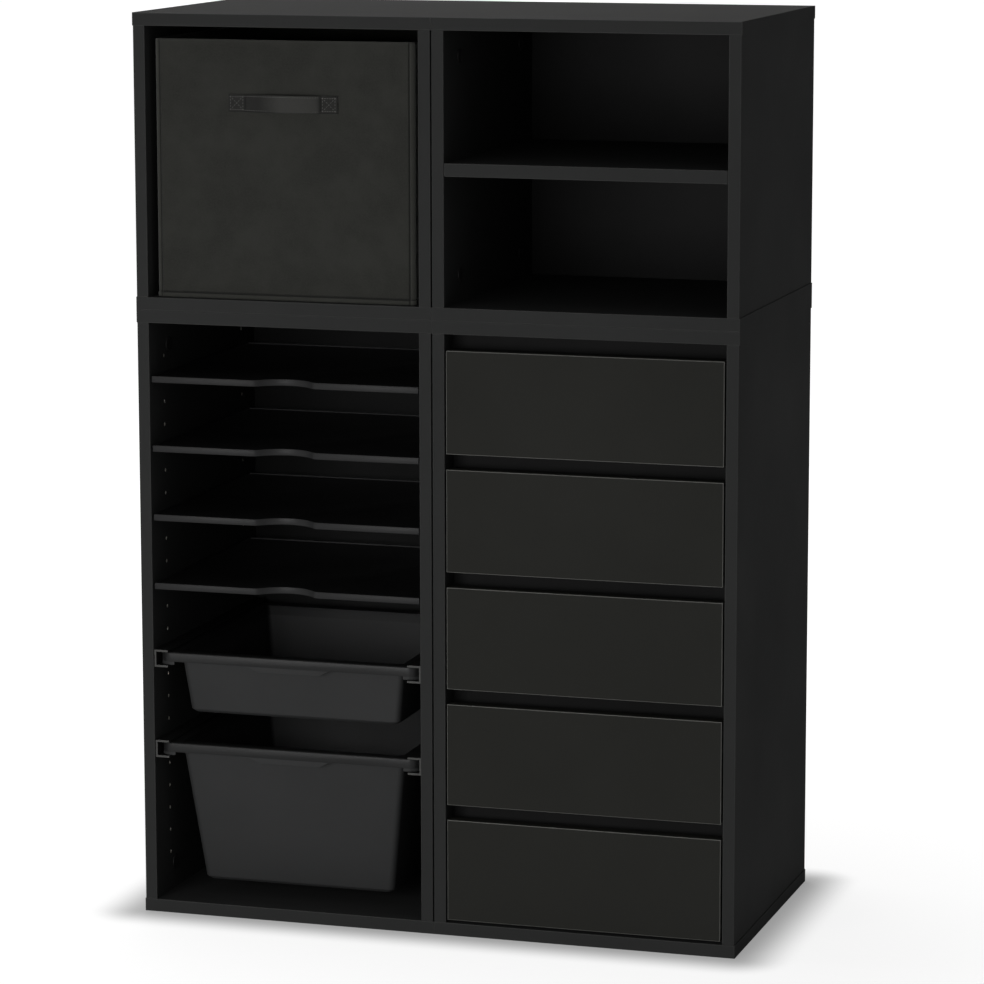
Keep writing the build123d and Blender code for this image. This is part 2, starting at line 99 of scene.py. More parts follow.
def maths(tree, operation, *values, clamp=False):
    """One step of arithmetic on values or node outputs."""
    numbered = dict(enumerate(values))
    return add_node(tree, "ShaderNodeMath", numbered, operation=operation, use_clamp=clamp).outputs[0]


def ramp(tree, value, low, high, low_out=0.0, high_out=1.0):
    """Maps low..high to low_out..high_out and holds the ends."""
    sized = {"Value": value, "From Min": low, "From Max": high, "To Min": low_out, "To Max": high_out}
    return add_node(tree, "ShaderNodeMapRange", sized).outputs[0]


def axes_of(tree, vector):
    """A vector's parts, as the outputs X, Y and Z."""
    return add_node(tree, "ShaderNodeSeparateXYZ", {"Vector": vector}).outputs


def seen_directly(tree):
    """1 where the camera, a reflection or glass looks at the surface, and 0 where it only lights others."""
    path = add_node(tree, "ShaderNodeLightPath").outputs
    either = maths(tree, "MAXIMUM", path["Is Camera Ray"], path["Is Glossy Ray"])
    return maths(tree, "MAXIMUM", either, path["Is Transmission Ray"])


def white_surround():
    """A white world to look at, which lights the unit only dimly."""
    world = bpy.data.worlds.new("surround")
    world.use_nodes = True
    tree = world.node_tree
    tree.nodes.clear()
    dim = add_node(tree, "ShaderNodeBackground", {"Color": (1, 1, 1, 1), "Strength": surround_light})
    towards = add_node(tree, "ShaderNodeTexCoord").outputs["Generated"]
    whiteness = ramp(tree, axes_of(tree, towards)["Z"], horizon_rise, zenith_rise, 1.0, zenith_white)
    white = add_node(tree, "ShaderNodeBackground", {"Color": (1, 1, 1, 1), "Strength": whiteness})
    either = {0: seen_directly(tree), 1: dim.outputs[0], 2: white.outputs[0]}
    mix = add_node(tree, "ShaderNodeMixShader", either)
    add_node(tree, "ShaderNodeOutputWorld", {"Surface": mix.outputs[0]})
    bpy.context.scene.world = world


def white_floor():
    """A matt floor with the unit's shadow, seen nearly white; its glow dims near the unit as a painted
    shadow.
    """
    mesh = bpy.data.meshes.new("floor")
    corners = [(-1, -1), (1, -1), (1, 1), (-1, 1)]
    mesh.from_pydata([(floor_reach * x, floor_reach * y, 0) for x, y in corners], [], [(0, 1, 2, 3)])
    floor = bpy.data.objects.new("floor", mesh)
    bpy.context.scene.collection.objects.link(floor)
    material = bpy.data.materials.new("white_floor")
    material.use_nodes = True
    tree = material.node_tree
    tree.nodes.clear()
    matt = add_node(tree, "ShaderNodeBsdfDiffuse", {"Color": (*[floor_white] * 3, 1)})
    seen_matt = add_node(tree, "ShaderNodeBsdfDiffuse", {"Color": (*[floor_seen_white] * 3, 1)})
    half = ((cad_box[1].x - cad_box[0].x) / 2, (cad_box[1].y - cad_box[0].y) / 2, 0)
    place = add_node(tree, "ShaderNodeTexCoord").outputs["Object"]
    apart = add_node(tree, "ShaderNodeVectorMath", {0: place}, operation="ABSOLUTE").outputs[0]
    past = add_node(tree, "ShaderNodeVectorMath", {0: apart, 1: half}, operation="SUBTRACT").outputs[0]
    outside = add_node(tree, "ShaderNodeVectorMath", {0: past, 1: (0, 0, 0)}, operation="MAXIMUM").outputs[0]
    away = add_node(tree, "ShaderNodeVectorMath", {0: outside}, operation="LENGTH").outputs["Value"]
    steps = sorted(floor_glow_and_painted_shadow.items())
    level = steps[0][1]
    for (near, low), (far, high) in zip(steps, steps[1:]):
        sized = {"Value": away, "From Min": near, "From Max": far, "To Min": 0.0, "To Max": high - low}
        part = add_node(tree, "ShaderNodeMapRange", sized, interpolation_type="SMOOTHSTEP").outputs[0]
        level = maths(tree, "ADD", level, part)
    glow = add_node(tree, "ShaderNodeEmission", {"Strength": level})
    lifted = add_node(tree, "ShaderNodeAddShader", {0: seen_matt.outputs[0], 1: glow.outputs[0]})
    either = {0: seen_directly(tree), 1: matt.outputs[0], 2: lifted.outputs[0]}
    mix = add_node(tree, "ShaderNodeMixShader", either)
    add_node(tree, "ShaderNodeOutputMaterial", {"Surface": mix.outputs[0]})
    mesh.materials.append(material)


def soft_lamp(name, place, aim_height, width, height, power):
    """A rectangular lamp aimed at a point on the unit's upright middle line."""
    lamp = bpy.data.lights.new(name, "AREA")
    lamp.shape = "RECTANGLE"
    lamp.size, lamp.size_y = width, height
    lamp.energy = power
    lamp_object = bpy.data.objects.new(name, lamp)
    lamp_object.location = place
    aim = Vector((0, 0, aim_height)) - Vector(place)
    lamp_object.rotation_euler = aim.to_track_quat("-Z", "Y").to_euler()
    bpy.context.scene.collection.objects.link(lamp_object)


def photo_camera():
    """The camera fitted to the unit's corners in the photograph."""
    lens = bpy.data.cameras.new("camera")
    lens.sensor_width = camera_sensor
    lens.lens = camera_lens
    lens.clip_end = 3 * floor_reach
    camera = bpy.data.objects.new("camera", lens)
    camera.location = camera_place
    camera.rotation_euler = (radians(camera_pitch), radians(camera_roll), radians(camera_yaw))
    bpy.context.scene.collection.objects.link(camera)
    bpy.context.scene.camera = camera


bpy.context.scene.view_settings.view_transform = "Standard"
white_surround()
white_floor()
for lamp_name, lamp_facts in lamps.items():
    soft_lamp(lamp_name, *lamp_facts)
photo_camera()

# ------------------------------------------------------------ the boards
# Eight side boards, four tops and four bottoms of chipboard with a black melamine face, which is pressed
# with a fine pearl grain. A thin band is glued to each front edge and trimmed flush, so its joint shows as
# a hair line.
laminate_black = (0.0242, 0.0247, 0.0245)
laminate_grey = (0.0275, 0.0280, 0.0277)
# the edge band's paler tone, and the painted highlight on the bevels
laminate_band_and_highlight = (0.0520, 0.0525, 0.0515)
laminate_top_dust_and_light = (0.0290, 0.0290, 0.0282)  # with the dust that lies on top of the unit, and painted light on its top face
laminate_gloss = 0.035
laminate_rough, bevel_rough, film_rough = 0.88, 0.34, 0.95
joint_black = (0.003, 0.003, 0.003)
dust_grey = (0.10, 0.10, 0.095)
band_thickness = 0.0006
band_joint = 0.00012
band_wear = 0.12
front_y, top_z = cad_box[0].y, cad_box[1].z


def shader_group(name, inputs, outputs):
    """A node group with float inputs, given with their defaults, and outputs, given with their kinds."""
    group = bpy.data.node_groups.new(name, "ShaderNodeTree")
    for label, value in inputs.items():
        group.interface.new_socket(label, in_out="INPUT", socket_type="NodeSocketFloat").default_value = value
    for label, kind in outputs.items():
        group.interface.new_socket(label, in_out="OUTPUT", socket_type="NodeSocket" + kind)
    return group, group.nodes.new("NodeGroupInput").outputs, group.nodes.new("NodeGroupOutput")


def mixed(tree, share, first, second):
    """A colour between two others, each a colour or a node's output."""
    return add_node(tree, "ShaderNodeMix", {0: share, 6: first, 7: second}, data_type="RGBA").outputs[2]


def rgba(colour):
    return (*colour, 1.0)


def noise_at(tree, place, scale, detail=2.0, roughness=0.5):
    sized = {"Vector": place, "Scale": scale, "Detail": detail, "Roughness": roughness}
    return add_node(tree, "ShaderNodeTexNoise", sized).outputs["Fac"]


def object_place(tree):
    return add_node(tree, "ShaderNodeTexCoord").outputs["Object"]


def facing_masks(tree):
    """1 on level faces that look up, and 1 on the narrow bevels, which face along no axis."""
    normal = add_node(tree, "ShaderNodeNewGeometry").outputs["True Normal"]
    axes = axes_of(tree, normal)
    largest = maths(tree, "MAXIMUM", maths(tree, "ABSOLUTE", axes["X"]), maths(tree, "ABSOLUTE", axes["Y"]))
    largest = maths(tree, "MAXIMUM", largest, maths(tree, "ABSOLUTE", axes["Z"]))
    return maths(tree, "GREATER_THAN", axes["Z"], 0.95), maths(tree, "LESS_THAN", largest, 0.92)


def make_surface_grain():
    """Fine grain, cloudy handling marks and stray dust, for every hard surface of the unit."""
    group, given, result = shader_group(
        "surface_grain",
        {"Grain scale": 900.0, "Cloud scale": 5.0, "Dust": 0.5},
        {"Clouds": "Float", "Dust mask": "Float", "Height": "Float"},
    )
    place = object_place(group)
    clouds = noise_at(group, place, given["Cloud scale"], 4.0, 0.6)
    grain = noise_at(group, place, given["Grain scale"], 2.0, 0.6)
    specks = add_node(group, "ShaderNodeTexVoronoi", {"Vector": place, "Scale": 260.0}, feature="F1")
    lone = ramp(group, noise_at(group, place, 31.0, 1.0), 0.60, 0.66)
    near = ramp(group, specks.outputs["Distance"], 0.10, 0.05)
    dust = maths(group, "MULTIPLY", maths(group, "MULTIPLY", lone, near), given["Dust"])
    group.links.new(ramp(group, clouds, 0.3, 0.7), result.inputs["Clouds"])
    group.links.new(dust, result.inputs["Dust mask"])
    group.links.new(grain, result.inputs["Height"])
    return group


surface_grain = make_surface_grain()


def empty_material(name):
    """A material with a Principled shader and nothing else, as (material, its tree, the shader)."""
    material = bpy.data.materials.new(name)
    material.use_nodes = True
    return material, material.node_tree, material.node_tree.nodes["Principled BSDF"]


def placed_group(tree, group, **values):
    """The outputs of a node group set into a tree, with the given inputs, whose names have _ for a space."""
    node = tree.nodes.new("ShaderNodeGroup")
    node.node_tree = group
    for name, value in values.items():
        node.inputs[name.replace("_", " ")].default_value = value
    return node.outputs


def raised(tree, shader, height, strength, distance):
    """Feeds a height to the shader's normal."""
    bump = add_node(tree, "ShaderNodeBump", {"Height": height, "Strength": strength, "Distance": distance})
    tree.links.new(bump.outputs[0], shader.inputs["Normal"])


def laminate(name, dark, light, rough=laminate_rough, bevel_highlight=laminate_band_and_highlight):
    """Melamine-faced board: a satin black skin, a pearl grain, a front edge band and a painted highlight on
    the bevels.
    """
    material, tree, shader = empty_material(name)
    skin = placed_group(tree, surface_grain, Grain_scale=1100.0, Cloud_scale=4.0, Dust=0.35)
    place = axes_of(tree, object_place(tree))
    behind = maths(tree, "SUBTRACT", place["Y"], front_y + band_thickness)
    joint = ramp(tree, maths(tree, "ABSOLUTE", behind), 0.0, band_joint, 1.0, 0.0)
    band = ramp(tree, behind, -band_joint, band_joint, 1.0, 0.0)
    facing_up, bevel = facing_masks(tree)
    level = maths(tree, "MULTIPLY", facing_up, maths(tree, "GREATER_THAN", place["Z"], top_z - 0.001))
    clean = mixed(tree, skin["Clouds"], rgba(dark), rgba(light))
    # the top face is paler: dust, and painted light from above
    top_dust_and_light = maths(tree, "MULTIPLY", level, ramp(tree, skin["Clouds"], 0.0, 1.0, 0.75, 1.0))
    tone = mixed(tree, top_dust_and_light, clean, rgba(laminate_top_dust_and_light))
    # the bevels are painted paler as a highlight
    edged = mixed(tree, bevel, tone, rgba(bevel_highlight))
    banded = mixed(tree, maths(tree, "MULTIPLY", band, band_wear), edged, rgba(laminate_band_and_highlight))
    jointed = mixed(tree, maths(tree, "MULTIPLY", joint, 0.7), banded, rgba(joint_black))
    dusty = mixed(tree, skin["Dust mask"], jointed, rgba(dust_grey))
    tree.links.new(dusty, shader.inputs["Base Color"])
    handled = ramp(tree, skin["Clouds"], 0.0, 1.0, rough + 0.03, rough - 0.05)
    dulled = ramp(tree, top_dust_and_light, 0.0, 1.0, handled, film_rough)
    tree.links.new(ramp(tree, bevel, 0.0, 1.0, dulled, bevel_rough), shader.inputs["Roughness"])
    shader.inputs["Specular IOR Level"].default_value = laminate_gloss
    raised(tree, shader, skin["Height"], 0.35, 0.0002)
    return material, tree, shader


def dress(material, slot, *names):
    """Gives CAD nodes their material."""
    for name in names:
        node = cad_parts[name]
        node.data.materials.clear()
        node.data.materials.append(material)


modules = ("tray_tower", "drawer_tower", "bin_cube", "shelf_cube")
carcass_black = laminate("carcass_laminate", laminate_black, laminate_grey)[0]
ends = [f"{module}_{end}" for module in modules for end in ("top", "bottom")]
plain_sides = [f"{module}_{side}_side" for module in modules[1:] for side in ("left", "right")]
dress(carcass_black, "carcass_laminate", *ends, *plain_sides)

# ------------------------------------------------------------ the drilled sides of the tray tower
# The two side boards that trays and bins hang on have a column of peg holes near each edge. Their skin is
# the same laminate, and the bare chipboard inside each hole is painted far paler than chipboard, as a
# highlight.
chip_pale_highlight = (0.93, 0.90, 0.84)
chip_dark_highlight = (0.80, 0.76, 0.68)
chip_scale = 900.0
skin_depth = 0.0004


def drilled_laminate(wall):
    """The laminate on a side board's faces, and bare chipboard painted pale as a highlight where a hole goes
    below its skin.
    """
    low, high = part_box(wall)
    material, tree, shader = laminate("drilled_" + wall, laminate_black, laminate_grey)
    place = axes_of(tree, object_place(tree))
    inside = None
    for axis, first, last in (("X", low.x, high.x), ("Y", low.y, high.y), ("Z", low.z, high.z)):
        for operation, edge in (("GREATER_THAN", first + skin_depth), ("LESS_THAN", last - skin_depth)):
            within = maths(tree, operation, place[axis], edge)
            inside = within if inside is None else maths(tree, "MULTIPLY", inside, within)
    chips = ramp(tree, noise_at(tree, object_place(tree), chip_scale, 3.0), 0.35, 0.65)
    # the bare chipboard is painted far paler than its own colour, as a highlight in the shaded holes
    bare = mixed(tree, chips, rgba(chip_dark_highlight), rgba(chip_pale_highlight))
    laminated = shader.inputs["Base Color"].links[0].from_socket
    tree.links.new(mixed(tree, inside, laminated, bare), shader.inputs["Base Color"])
    return material


for wall in ("tray_tower_left_side", "tray_tower_right_side"):
    dress(drilled_laminate(wall), "carcass_laminate", wall)

# ------------------------------------------------------------ the shelf
# One fixed board of the same laminate in the right-hand cube. It rests on four steel pins, which stand in
# holes in the side boards.
dress(carcass_black, "carcass_laminate", "shelf_cube_shelf")

# ------------------------------------------------------------ the back boards
# Thin hardboard slid into grooves: black paper foil on the side that shows between the shelves, and the
# bare brown fibre board, with its screen-pressed net, on the outside.
fibre_brown = (0.105, 0.062, 0.034)
fibre_light = (0.150, 0.094, 0.054)
foil_black = (0.0085, 0.0085, 0.0085)
foil_grey = (0.0115, 0.0115, 0.0115)
foil_gloss = 0.08
net_pitch = 0.0016


def hardboard(back):
    """Hardboard with its foil to the front, and its fibres and the net of the press on its rear face."""
    rear_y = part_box(back)[1].y
    material, tree, shader = empty_material("hardboard_" + back)
    skin = placed_group(tree, surface_grain, Grain_scale=1400.0, Cloud_scale=9.0, Dust=0.5)
    place = axes_of(tree, object_place(tree))
    outside = maths(tree, "GREATER_THAN", place["Y"], rear_y - skin_depth)
    drawn = {"Vector": object_place(tree), "Scale": (1.0, 1.0, 0.18)}
    fibres = add_node(tree, "ShaderNodeMapping", drawn).outputs[0]
    strands = ramp(tree, noise_at(tree, fibres, 420.0, 5.0, 0.7), 0.35, 0.7)
    bare = mixed(tree, strands, rgba(fibre_brown), rgba(fibre_light))
    foil = mixed(tree, skin["Clouds"], rgba(foil_black), rgba(foil_grey))
    tree.links.new(mixed(tree, outside, foil, bare), shader.inputs["Base Color"])
    tree.links.new(ramp(tree, outside, 0.0, 1.0, 0.7, 0.8), shader.inputs["Roughness"])
    shader.inputs["Specular IOR Level"].default_value = foil_gloss
    turns = [maths(tree, "MULTIPLY", place[axis], 2 * pi / net_pitch) for axis in ("X", "Z")]
    crossing = maths(tree, "MULTIPLY", *[maths(tree, "SINE", turn) for turn in turns])
    net = maths(tree, "MULTIPLY", crossing, outside)
    raised(tree, shader, maths(tree, "ADD", net, skin["Height"]), 0.35, 0.00012)
    return material


for module in modules:
    dress(hardboard(module + "_back"), "back_hardboard", module + "_back")

# ------------------------------------------------------------ the covers over the cams
# Thin round plastic caps pressed over the cam locks on the inner faces of the side boards, so that no metal
# shows inside the modules.
cap_radius = 0.0088
cap_height = 0.0009
cap_dome = 0.0004
cap_black, cap_grey = (0.012, 0.012, 0.012), (0.017, 0.017, 0.017)
plastic_gloss = 0.12
plastic_dust = (0.09, 0.09, 0.085)
rim_painted_shade, polish_gain = 0.48, 0.14  # of a rim: the share of its tone kept under painted shade, and its gain in gloss from a polished mould


def moulded_plastic(name, dark, light, rough, grain=700.0, strength=0.3, rims_glossy_and_painted_dark=(), cut_ends=None):
    """Plastic from a finely etched mould: even colour, a soft sheen and a leathery micro grain. Rims between
    the given (low, high) heights are polished in the mould and darkened by painted shade, and sawn ends that
    face front are paler."""
    material, tree, shader = empty_material(name)
    skin = placed_group(tree, surface_grain, Grain_scale=grain, Cloud_scale=7.0, Dust=0.4)
    tone = mixed(tree, skin["Clouds"], rgba(dark), rgba(light))
    dulled = ramp(tree, skin["Clouds"], 0.0, 1.0, rough + 0.05, rough - 0.04)
    height = axes_of(tree, object_place(tree))["Z"]
    for low, high in rims_glossy_and_painted_dark:
        below_top = maths(tree, "LESS_THAN", height, high)
        over = maths(tree, "MULTIPLY", ramp(tree, height, low - 0.0003, low), below_top)
        # painted shade darkens the rim
        tone = mixed(tree, over, tone, rgba([rim_painted_shade * part for part in dark]))
        dulled = maths(tree, "SUBTRACT", dulled, maths(tree, "MULTIPLY", over, polish_gain))
    if cut_ends:
        normal = add_node(tree, "ShaderNodeNewGeometry").outputs["True Normal"]
        facing_front = maths(tree, "LESS_THAN", axes_of(tree, normal)["Y"], -0.9)
        tone = mixed(tree, facing_front, tone, rgba(cut_ends))
    tree.links.new(mixed(tree, skin["Dust mask"], tone, rgba(plastic_dust)), shader.inputs["Base Color"])
    tree.links.new(dulled, shader.inputs["Roughness"])
    shader.inputs["Specular IOR Level"].default_value = plastic_gloss
    raised(tree, shader, skin["Height"], strength, 0.00025)
    return material


def shown(name, mesh, material, body, smooth_angle=None):
    """Links a finished mesh as a piece of the unit, with its material and body."""
    piece = bpy.data.objects.new(name, mesh)
    bpy.context.scene.collection.objects.link(piece)
    mesh.materials.clear()
    mesh.materials.append(material)
    if smooth_angle is not None:
        mesh.shade_smooth()
        mesh.set_sharp_from_angle(angle=radians(smooth_angle))
    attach(piece, body)
    return piece


def geometry_tree(name, inputs):
    """An empty Geometry Nodes tree with a geometry input and named inputs, given as name: (kind, default)."""
    tree = bpy.data.node_groups.new(name, "GeometryNodeTree")
    tree.interface.new_socket("Geometry", in_out="INPUT", socket_type="NodeSocketGeometry")
    for label, (kind, value) in inputs.items():
        socket = tree.interface.new_socket(label, in_out="INPUT", socket_type="NodeSocket" + kind)
        if value is not None:
            socket.default_value = value
    tree.interface.new_socket("Geometry", in_out="OUTPUT", socket_type="NodeSocketGeometry")
    return tree, tree.nodes.new("NodeGroupInput").outputs, tree.nodes.new("NodeGroupOutput")


def grown_mesh(name, guide, tree, **values):
    """Runs a Geometry Nodes tree on a guide mesh and returns the result as a plain mesh."""
    holder = bpy.data.objects.new(name + "_guide", guide)
    bpy.context.scene.collection.objects.link(holder)
    modifier = holder.modifiers.new(name, "NODES")
    modifier.node_group = tree
    for socket in tree.interface.items_tree:
        label = socket.name.replace(" ", "_")
        if socket.in_out == "INPUT" and label in values:
            modifier[socket.identifier] = values[label]
    bpy.context.view_layer.update()
    evaluated = holder.evaluated_get(bpy.context.evaluated_depsgraph_get())
    mesh = bpy.data.meshes.new_from_object(evaluated)
    mesh.name = name
    bpy.data.objects.remove(holder)
    bpy.data.meshes.remove(guide)
    return mesh


def finish_instances(tree, set_out, given, result):
    """Ends a Geometry Nodes tree: instances on points, made real, with their material."""
    placed = add_node(tree, "GeometryNodeInstanceOnPoints", set_out)
    real = add_node(tree, "GeometryNodeRealizeInstances", {"Geometry": placed.outputs[0]})
    covered = {"Geometry": real.outputs[0], "Material": given["Material"]}
    tree.links.new(add_node(tree, "GeometryNodeSetMaterial", covered).outputs[0], result.inputs[0])


def make_cap_tree():
    """Sets a low domed disc on each point of the guide, facing along the point's own normal."""
    tree, given, result = geometry_tree(
        "cam_caps",
        {
            "Radius": ("Float", cap_radius),
            "Height": ("Float", cap_height),
            "Dome": ("Float", cap_dome),
            "Material": ("Material", None),
        },
    )
    shape = {
        "Vertices": 40,
        "Side Segments": 1,
        "Fill Segments": 3,
        "Radius Top": maths(tree, "SUBTRACT", given["Radius"], given["Dome"]),
        "Radius Bottom": given["Radius"],
        "Depth": given["Height"],
    }
    disc = add_node(tree, "GeometryNodeMeshCone", shape, fill_type="NGON")
    facing = add_node(tree, "GeometryNodeInputNamedAttribute", {"Name": "facing"}, data_type="FLOAT_VECTOR")
    turned = add_node(tree, "FunctionNodeAlignRotationToVector", {"Vector": facing.outputs[0]}, axis="Z")
    set_out = {"Points": given["Geometry"], "Instance": disc.outputs["Mesh"], "Rotation": turned.outputs[0]}
    finish_instances(tree, set_out, given, result)
    return tree


def cap_guide():
    """A point in the middle of each cam, on the face of its board, with the direction into the module."""
    cams = bmesh.new()
    cams.from_mesh(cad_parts["cam_locks"].data)
    bmesh.ops.remove_doubles(cams, verts=cams.verts, dist=1e-5)
    places, facings = [], []
    seen = set()
    for vert in cams.verts:
        if vert in seen:
            continue
        island, edge_of = {vert}, [vert]
        while edge_of:
            for edge in edge_of.pop().link_edges:
                for other in edge.verts:
                    if other not in island:
                        island.add(other)
                        edge_of.append(other)
        seen |= island
        middle = sum((v.co for v in island), Vector()) / len(island)
        depth = max(v.co.x for v in island) - min(v.co.x for v in island)
        module_x = cad_box[0].x / 2 if middle.x < 0 else cad_box[1].x / 2
        inward = 1 if middle.x < module_x else -1
        places.append(middle + Vector((inward * (depth / 2 + cap_height / 2), 0, 0)))
        facings.append((inward, 0, 0))
    cams.free()
    guide = bpy.data.meshes.new("cap_guide")
    guide.from_pydata(places, [], [])
    attribute = guide.attributes.new("facing", "FLOAT_VECTOR", "POINT")
    for item, facing in zip(attribute.data, facings):
        item.vector = facing
    return guide


cap_plastic = moulded_plastic("cap_plastic", cap_black, cap_grey, 0.42)
cap_mesh = grown_mesh("cam_caps", cap_guide(), make_cap_tree(), Material=cap_plastic)
shown("cam_caps", cap_mesh, cap_plastic, "cabinet", 30)

# ------------------------------------------------------------ the drawers
# Five inset drawers. Each front is a laminated board banded all round, with a painted highlight on its
# bevels.
# The box behind it is of black foil-wrapped board, and the base is hardboard in a groove. The rails behind
# the finger gaps are given the box's darker black, as painted shade in the gaps.
front_dark, front_light = (0.0150, 0.0151, 0.0130), (0.0176, 0.0177, 0.0154)
front_bevel_highlight = (0.170, 0.170, 0.160)  # the bevels of the fronts are painted palest, as a highlight
front_rough = 0.70
# also used on the rails behind the finger gaps, where the darker black is painted shade
box_dark_and_rail_shade, box_light_and_rail_shade = (0.0100, 0.0100, 0.0100), (0.0130, 0.0130, 0.0130)
front_black = laminate("drawer_front_laminate", front_dark, front_light, front_rough, front_bevel_highlight)[0]
box_board_and_rail_shade = laminate("drawer_box_board", box_dark_and_rail_shade, box_light_and_rail_shade)[0]
for number in range(1, 6):
    drawer = f"drawer_{number}_"
    dress(front_black, "drawer_front_laminate", drawer + "front")
    dress(box_board_and_rail_shade, "drawer_box_board", drawer + "sides", drawer + "back")
    dress(hardboard(drawer + "bottom"), "back_hardboard", drawer + "bottom")
# the rails are carcass laminate; the box's darker black on them is painted shade in the finger gaps
dress(box_board_and_rail_shade, "carcass_laminate", "drawer_tower_cross_rails")

# ------------------------------------------------------------ the beech strips and dowels
# Planed beech strips on the walls of the drawer tower carry the drawers, which have grooves in their sides
# for them. Dowels of the same beech hold the boards in line at their joints.
beech_light = (0.50, 0.34, 0.20)
beech_dark = (0.36, 0.22, 0.12)
beech_fleck = (0.20, 0.11, 0.06)


def beech(name, along):
    """Beech with its grain drawn out along one axis."""
    material, tree, shader = empty_material(name)
    stretch = {"X": (0.06, 1, 1), "Y": (1, 0.06, 1), "Z": (1, 1, 0.06)}[along]
    drawn = add_node(tree, "ShaderNodeMapping", {"Vector": object_place(tree), "Scale": stretch}).outputs[0]
    rings = ramp(tree, noise_at(tree, drawn, 260.0, 4.0, 0.65), 0.3, 0.7)
    flecks = ramp(tree, noise_at(tree, drawn, 1500.0, 2.0), 0.58, 0.70)
    tone = mixed(tree, rings, rgba(beech_dark), rgba(beech_light))
    flecked = mixed(tree, maths(tree, "MULTIPLY", flecks, 0.5), tone, rgba(beech_fleck))
    tree.links.new(flecked, shader.inputs["Base Color"])
    tree.links.new(ramp(tree, rings, 0.0, 1.0, 0.62, 0.5), shader.inputs["Roughness"])
    raised(tree, shader, rings, 0.3, 0.0002)
    return material


dress(beech("beech_strip", "Y"), "hardwood", "drawer_runners")
dress(beech("beech_dowel", "Z"), "hardwood", "dowels")

# ------------------------------------------------------------ the fittings of metal
# Die-cast zinc cams in the side boards grip bolts of zinc-plated steel, which hold the boards together. The
# pins between the stacked modules and under the shelf are of the same steel.
zinc_dark, zinc_light = (0.40, 0.40, 0.41), (0.55, 0.55, 0.56)
steel_dark, steel_light = (0.50, 0.50, 0.50), (0.64, 0.64, 0.63)


def metal(name, dark, light, rough):
    """Dull cast or plated metal with a mottled finish."""
    material, tree, shader = empty_material(name)
    skin = placed_group(tree, surface_grain, Grain_scale=1600.0, Cloud_scale=60.0, Dust=0.0)
    tree.links.new(mixed(tree, skin["Clouds"], rgba(dark), rgba(light)), shader.inputs["Base Color"])
    dulled = ramp(tree, skin["Clouds"], 0.0, 1.0, rough + 0.08, rough - 0.05)
    tree.links.new(dulled, shader.inputs["Roughness"])
    shader.inputs["Metallic"].default_value = 1.0
    raised(tree, shader, skin["Height"], 0.25, 0.0001)
    return material


dress(metal("die_cast_zinc", zinc_dark, zinc_light, 0.45), "zinc", "cam_locks")
plated_steel = metal("plated_steel", steel_dark, steel_light, 0.32)
dress(plated_steel, "pin_steel", "cam_bolts", "stacking_pins", "shelf_pins")

# ------------------------------------------------------------ the paper trays
# Four thin moulded trays for square sheets of paper, each with a low lip all round and a curved notch in
# its front for a finger. They lie on square plastic rails that are pegged into the side boards.
tray_dark, tray_light = (0.0140, 0.0140, 0.0142), (0.0168, 0.0168, 0.0172)
rail_dark, rail_light, rail_end = (0.0085, 0.0085, 0.0085), (0.0110, 0.0110, 0.0110), (0.055, 0.055, 0.053)
tray_radius = 0.0004
flat_angle, edge_angle = radians(0.5), radians(32)  # less is one flat face, more is an edge to round
tray_plastic = moulded_plastic("tray_plastic", tray_dark, tray_light, 0.46)
rail_plastic = moulded_plastic("rail_plastic", rail_dark, rail_light, 0.48, 1100.0, 0.2, cut_ends=rail_end)


def softened(node, name, body, material, radius):
    """A moulded piece with the small radii of its mould on every edge, in place of its sharp CAD solid."""
    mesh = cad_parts[node].data.copy()
    mesh.name = name
    form = bmesh.new()
    form.from_mesh(mesh)
    bmesh.ops.remove_doubles(form, verts=form.verts, dist=2e-6)
    bmesh.ops.dissolve_limit(form, angle_limit=flat_angle, verts=form.verts, edges=form.edges)
    form.to_mesh(mesh)
    form.free()
    piece = shown(name, mesh, material, body)
    rounding = piece.modifiers.new("mould_radius", "BEVEL")
    rounding.width = radius
    rounding.segments = 2
    rounding.limit_method = "ANGLE"
    rounding.angle_limit = edge_angle
    bpy.context.view_layer.update()
    evaluated = piece.evaluated_get(bpy.context.evaluated_depsgraph_get())
    rounded = bpy.data.meshes.new_from_object(evaluated)
    piece.modifiers.clear()
    piece.data = rounded
    rounded.shade_smooth()
    rounded.set_sharp_from_angle(angle=edge_angle)
    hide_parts(node)


for number in range(1, 5):
    tray = f"tray_{number}"
    softened("paper_" + tray, "moulded_" + tray, tray, tray_plastic, tray_radius)
dress(rail_plastic, "runner_plastic", "tray_rails")

# ------------------------------------------------------------ the moulded bins
# A shallow and a deep bin, injection moulded with drafted walls. Each hangs by its rim in two C-channels
# that are pegged into the side boards, and has a grip tab on the front of its rim.
skirt_height = 0.012
bin_dark, bin_light = (0.0252, 0.0256, 0.0258), (0.0288, 0.0292, 0.0295)
bin_radius = 0.0005
rim_tops = [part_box(f"{size}_bin")[1].z for size in ("shallow", "deep")]
rims = [(top - skirt_height, top + 0.001) for top in rim_tops]
bin_plastic = moulded_plastic("bin_plastic", bin_dark, bin_light, 0.50, 560.0, 0.4, rims_glossy_and_painted_dark=rims)
for bin_name in ("shallow_bin", "deep_bin"):
    softened(bin_name, "moulded_" + bin_name, bin_name + "_body", bin_plastic, bin_radius)
dress(rail_plastic, "runner_plastic", "bin_runners")

